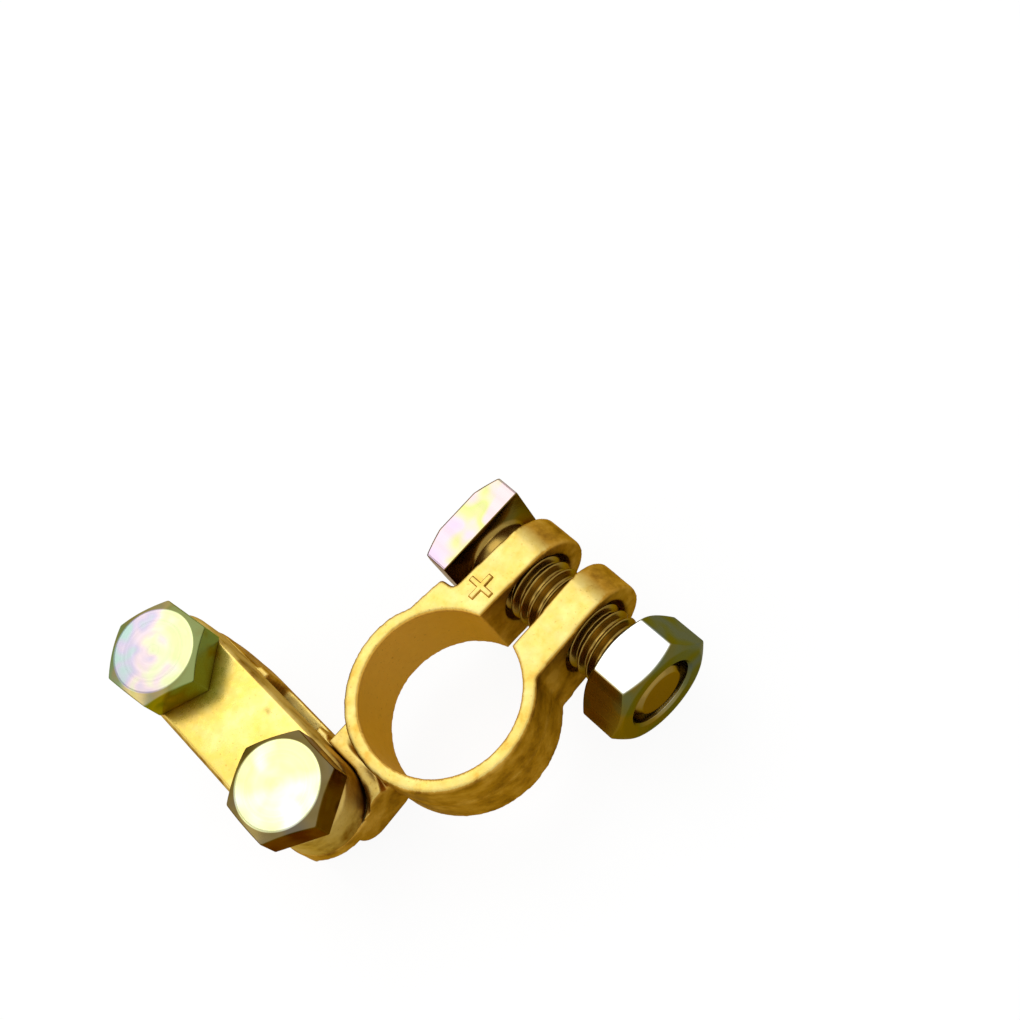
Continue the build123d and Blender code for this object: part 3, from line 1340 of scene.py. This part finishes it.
@dataclass
class HeadedBolt:
    """A bolt with a dressed head and a threaded shank, in one piece."""

    name: str
    node: str
    body: str
    slot: str
    outline: Prism
    head: float
    dressing: float
    thread: Thread
    lie: Lie
    edge: float = 0.25
    ease: float = 0.16
    ease_below: float = 0.128
    pole: float = 0.02

    @property
    def seat(self) -> tuple[float, float, float]:
        """The middle of the head's bearing face, in millimetres."""
        return seat_of(self.node, self.lie, self.head)

    def head_corners(self) -> np.ndarray:
        """The head's profile for each direction.

        From the middle of the top out to the dressing circle, down the 30 degree
        chamfer to the side, and down the side to the bearing face.

        Returns:
            Corners (5, n, 2) as radius and height.
        """
        reach = self.outline.radius()
        inner = np.minimum(self.dressing / 2, reach - self.edge)
        drop = (reach - inner) * CHAMFER
        zero = np.zeros_like(reach)
        corners = (
            (zero + self.pole, zero + self.head),
            (inner, zero + self.head),
            (reach, self.head - drop),
            (reach, zero),
            (zero + self.thread.crest_radius, zero),
        )
        return np.stack([np.stack(c, axis=-1) for c in corners])

    def build(self, material: bpy.types.Material) -> bpy.types.Object:
        """Build the bolt.

        Args:
            material: Its finish.

        Returns:
            The piece.
        """
        angles = self.outline.angles()
        head = eased(self.head_corners(), (self.ease, self.ease, self.ease_below))
        shank = self.thread.profile(angles)
        end = np.stack([shank[-1] * (share, 1.0) for share in (END_RIM, END_POLE)])
        profile = np.concatenate((head, shank[1:], end))
        piece = surface(self.name, placed(profile, angles, self.seat, self.lie))
        return finish_piece(piece, material, self.body, self.slot, self.node)


@dataclass
class HexNut:
    """The nut, dressed on both ends, with countersunk mouths."""

    outline: Prism
    thick: float
    dressing: float
    bore: float
    countersink: float = 0.3
    edge: float = 0.25
    ease: float = 0.16
    mouth_eases: tuple[float, float] = (0.05, 0.08)

    @property
    def seat(self) -> tuple[float, float, float]:
        """The middle of the nut's outer end, in millimetres."""
        return seat_of("pinch_nut", Lie.ALONG_Y, self.thick)

    def build(self, material: bpy.types.Material) -> bpy.types.Object:
        """Build the nut as one ring: its profile runs out, down, in and up the bore.

        It starts half way up the bore and ends just below, at seam.

        Args:
            material: Its finish.

        Returns:
            The piece.
        """
        reach = self.outline.radius()
        inner = np.minimum(self.dressing / 2, reach - self.edge)
        drop = (reach - inner) * CHAMFER
        low = np.zeros_like(reach)
        high = low + self.thick
        bore = low + self.bore / 2
        mouth = bore + self.countersink
        seam = high / 2 - 0.01
        corners = (
            (bore, high / 2),
            (bore, high - self.countersink),
            (mouth, high),
            (inner, high),
            (reach, high - drop),
            (reach, drop),
            (inner, low),
            (mouth, low),
            (bore, low + self.countersink),
            (bore, seam),
        )
        stacked = np.stack([np.stack(c, axis=-1) for c in corners])
        eases = (*self.mouth_eases, *[self.ease] * 4, *reversed(self.mouth_eases))
        profile = eased(stacked, eases)
        rings = placed(profile, self.outline.angles(), self.seat, Lie.ALONG_Y)
        piece = surface("pinch_nut_hex", rings, round_profile=True)
        return finish_piece(piece, material, "pinch_nut", "pinch_nut_zinc", "pinch_nut")


# Studio


@dataclass(frozen=True)
class PhotoCamera:
    """The camera of the photograph, solved from the rims of the ring and the heads."""

    at: tuple[float, float, float] = (2.489, -69.503, 149.861)
    right: tuple[float, float, float] = (0.679559, -0.672155, -0.293952)
    up: tuple[float, float, float] = (0.726195, 0.559452, 0.399567)
    back: tuple[float, float, float] = (-0.104119, -0.484995, 0.868297)
    lens: float = 53.2025

    def build(self) -> bpy.types.Object:
        """Make the camera and set it as the scene's.

        Returns:
            The camera.
        """
        data = bpy.data.cameras.new("photo_camera")
        data.sensor_width = 36.0
        data.lens = self.lens
        data.clip_start, data.clip_end = 0.005, 10.0
        camera = bpy.data.objects.new("photo_camera", data)
        axes = Matrix((self.right, self.up, self.back)).transposed().to_4x4()
        camera.matrix_world = Matrix.Translation(Vector(self.at) * MM) @ axes
        bpy.context.scene.collection.objects.link(camera)
        bpy.context.scene.camera = camera
        return camera


@dataclass(frozen=True)
class Softbox:
    """A large soft lamp, aimed at the middle of the clamp."""

    name: str
    towards: tuple[float, float, float]
    distance: float
    size: float
    power: float
    aim: tuple[float, float, float] = (-2.0, 6.0, 4.0)

    def build(self) -> bpy.types.Object:
        """Make the lamp.

        Returns:
            The lamp.
        """
        data = bpy.data.lights.new(self.name, "AREA")
        data.shape = "SQUARE"
        data.size = self.size * MM
        data.energy = self.power
        lamp = bpy.data.objects.new(self.name, data)
        way = Vector(self.towards).normalized()
        lamp.location = (Vector(self.aim) + way * self.distance) * MM
        lamp.rotation_mode = "QUATERNION"
        lamp.rotation_quaternion = way.to_track_quat("Z", "Y")
        bpy.context.scene.collection.objects.link(lamp)
        return lamp


@dataclass
class Studio:
    """A pale floor, a white surround and soft lamps."""

    floor_level: float = -5.35
    floor_half: float = 1500.0
    surround: float = 0.5
    glow: float = 1.07
    glow_seen: float = 0.86
    glow_mirrored: float = 0.19
    lamps: tuple[Softbox, ...] = field(
        default_factory=lambda: (
            Softbox("top_softbox", (0.1, 0.5, 0.86), 340.0, 240.0, 0.28),
            Softbox("left_softbox", (-0.8, 0.35, 0.55), 380.0, 200.0, 0.15),
        )
    )

    def seen(
        self, tree: bpy.types.NodeTree, by_camera: float, by_mirror: float
    ) -> bpy.types.NodeSocket:
        """A level for rays from the camera, and one for those from a mirror or glass.

        Args:
            tree: The node tree.
            by_camera: The level that the camera sees.
            by_mirror: The level that shows in metal and glass.

        Returns:
            The level's socket, which is 0 for every other ray.
        """
        ray = add(tree, "ShaderNodeLightPath")
        bounced = add(
            tree,
            "ShaderNodeMath",
            {0: ray.outputs["Is Glossy Ray"], 1: ray.outputs["Is Transmission Ray"]},
            operation="MAXIMUM",
        )
        mirrored = add(
            tree,
            "ShaderNodeMath",
            {0: bounced.outputs["Value"], 1: by_mirror},
            operation="MULTIPLY",
        )
        direct = add(
            tree,
            "ShaderNodeMath",
            {0: ray.outputs["Is Camera Ray"], 1: by_camera},
            operation="MULTIPLY",
        )
        level = add(
            tree,
            "ShaderNodeMath",
            {0: direct.outputs["Value"], 1: mirrored.outputs["Value"]},
            operation="MAXIMUM",
        )
        return level.outputs["Value"]

    def build_world(self) -> None:
        """Make the surround: white where it is seen, softer where it lights."""
        world = bpy.data.worlds.new("white_surround")
        bpy.context.scene.world = world
        world.use_nodes = True
        tree = world.node_tree
        tree.nodes.clear()
        level = add(
            tree,
            "ShaderNodeMath",
            {0: self.seen(tree, 1.0, 1.0), 1: self.surround},
            operation="MAXIMUM",
        )
        light = add(
            tree,
            "ShaderNodeBackground",
            {"Color": srgb("#FFFFFF"), "Strength": level.outputs["Value"]},
        )
        add(tree, "ShaderNodeOutputWorld", {"Surface": light.outputs["Background"]})

    def build_floor(self) -> bpy.types.Object:
        """Make the floor: a matt white sheet that glows a little where it is seen.

        Returns:
            The floor.
        """
        half = self.floor_half * MM
        mesh = bpy.data.meshes.new("studio_floor")
        signs = ((-1, -1), (1, -1), (1, 1), (-1, 1))
        corners = [(half * x, half * y, self.floor_level * MM) for x, y in signs]
        mesh.from_pydata(corners, [], [(0, 1, 2, 3)])
        floor = bpy.data.objects.new("studio_floor", mesh)
        bpy.context.scene.collection.objects.link(floor)
        material, tree = blank_material("white_sheet")
        sheet = add(tree, "ShaderNodeBsdfDiffuse", {"Color": srgb("#F6F6F5")})
        white = add(tree, "ShaderNodeEmission", {"Color": srgb("#FFFFFF"), "Strength": self.glow})
        share = self.seen(tree, self.glow_seen, self.glow_mirrored)
        mixed = add(
            tree,
            "ShaderNodeMixShader",
            {0: share, 1: sheet.outputs["BSDF"], 2: white.outputs["Emission"]},
        )
        add(tree, "ShaderNodeOutputMaterial", {"Surface": mixed.outputs["Shader"]})
        mesh.materials.append(material)
        return floor

    def build(self) -> None:
        """Build the surround, the floor, the lamps and the camera."""
        self.build_world()
        self.build_floor()
        for lamp in self.lamps:
            lamp.build()
        PhotoCamera().build()
        bpy.context.scene.view_settings.view_transform = "Standard"


# The whole clamp

# Tints of the zinc films, each at its level of the film. The first four are painted on lit faces
# as painted light, and the last three on the rest as painted shade.
BLUSH_FILM = (
    (0.29, "#90A69E"),
    (0.38, "#A29AAA"),
    (0.46, "#B6A6A8"),
    (0.54, "#B4B696"),
    (0.64, "#B0B884"),
    (0.76, "#B8BE88"),
)
PALE_FILM = (
    (0.30, "#D6D8C6"),
    (0.42, "#CCCEA8"),
    (0.50, "#C8CA94"),
    (0.57, "#C4C486"),
    (0.75, "#C8C48E"),
)
WHITE_FILM = ((0.35, "#DCDCD8"), (0.65, "#D4D6C2"))
ROSE_FILM = (
    (0.28, "#B09CAC"),
    (0.37, "#B8A2A8"),
    (0.44, "#ACAA76"),
    (0.50, "#A8AC6C"),
    (0.57, "#BAA4A4"),
)
OLIVE_FILM = (
    (0.30, "#7C8A48"),
    (0.40, "#94861E"),
    (0.50, "#A08C26"),
    (0.60, "#7A7020"),
    (0.72, "#7C8A48"),
)
SMOKE_FILM = (
    (0.30, "#626A5A"),
    (0.40, "#66683E"),
    (0.50, "#70662C"),
    (0.62, "#86681A"),
    (0.74, "#84661A"),
)
BROWN_FILM = (
    (0.30, "#4A3610"),
    (0.42, "#6A5018"),
    (0.52, "#624816"),
    (0.62, "#70581E"),
    (0.74, "#665822"),
)


def build_clamp() -> list[bpy.types.Object]:
    """Build every piece of the clamp in order.

    Returns:
        The pieces.
    """
    # Both brasses paint their tops paler as painted light and their flanks darker as painted
    # shade, and lay painted shade into corners; the plate's painted shade also falls under and
    # beside the bolt heads
    cast = CastBrass("cast_brass", painted_shade="#4A2C08", reamed_radius=8.95).build()
    pressed = CastBrass(
        "pressed_brass",
        crown="#CEB254",
        flank="#BE9E4E",
        flank_worn="#CDB062",
        crown_rough=0.18,
        mottle=4.2,
        grain_depth=0.004,
        recess=1.6,
        shade_open=(0.2, 0.74),
        by_neighbours=True,
    ).build()
    m6 = Thread(diameter=6.0, pitch=1.0, from_depth=3.0, length=12.0, point=0.6)
    m8 = Thread(diameter=8.0, pitch=1.25, from_depth=4.6, length=25.0, point=1.25)
    cable_head = {
        "head": 4.2,
        "dressing": 9.45,
        "thread": m6,
        "lie": Lie.UP,
        "slot": "cable_bolt_zinc",
    }
    far = HeadedBolt(
        name="cable_bolt_far_hex",
        node="cable_bolt_far",
        body="far_bolt",
        outline=Prism(6, 10.5, turned=38.0),
        **cable_head,
    )
    near = HeadedBolt(
        name="cable_bolt_near_hex",
        node="cable_bolt_near",
        body="near_bolt",
        outline=Prism(6, 10.5, turned=29.0),
        **cable_head,
    )
    pinch = HeadedBolt(
        name="pinch_bolt_square",
        node="pinch_bolt",
        body="pinch_bolt",
        slot="pinch_bolt_zinc",
        outline=Prism(4, 11.4, turned=45.0, per_side=56),
        head=4.0,
        dressing=12.13,
        thread=m8,
        lie=Lie.ALONG_Y,
    )
    nut = HexNut(Prism(6, 12.0, turned=3.0), thick=5.5, dressing=11.4, bore=8.0)
    casting = Casting(
        name="cast_body",
        node="clamp_body",
        body="casting",
        slot="cast_brass",
        voxel=0.21,
        passes=6,
        pit=0.05,
    )
    plate = Pressing(
        name="pressed_plate",
        node="pressure_plate",
        body="plate",
        slot="plate_brass",
        voxel=0.17,
        passes=5,
        waviness=0.02,
        wave=4.5,
    )
    # Each zinc finish paints its lit faces with the first ramp as painted light and the rest with
    # the second as painted shade
    near_zinc = YellowZinc(
        "zinc_near", PALE_FILM, BROWN_FILM, near.seat, sweep=(0.014, 0.014, 0.0)
    )
    far_zinc = YellowZinc(
        "zinc_far",
        BLUSH_FILM,
        OLIVE_FILM,
        far.seat,
        sweep=(0.034, -0.034, 0.0),
        edge_tint="#C8C880",
        patch=2.4,
        patchy=0.5,
        bevel=0.3,
    )
    pinch_zinc = YellowZinc(
        "zinc_pinch",
        ROSE_FILM,
        BROWN_FILM,
        pinch.seat,
        lie=Lie.ALONG_Y,
        lit_side=LitSide.ROUND_Y,
        pale_from=4.25,
        sweep=(0.026, 0.0, 0.0),
    )
    nut_zinc = YellowZinc(
        "zinc_nut",
        WHITE_FILM,
        SMOKE_FILM,
        nut.seat,
        lie=Lie.ALONG_Y,
        sweep=(-0.03, 0.0, 0.0),
        edge_tint="#D0C8A0",
    )
    return [
        casting.build(cast),
        PolaritySign().build(cast),
        plate.build(pressed),
        near.build(near_zinc.build()),
        far.build(far_zinc.build()),
        pinch.build(pinch_zinc.build()),
        nut.build(nut_zinc.build()),
    ]


def main() -> None:
    """Dress the clamp, set up the studio and note the sizes."""
    logging.basicConfig(level=logging.INFO, format="%(message)s")
    pieces = build_clamp()
    LOG.info("%d pieces", len(pieces))
    Studio().build()


if __name__ == "__main__":
    main()
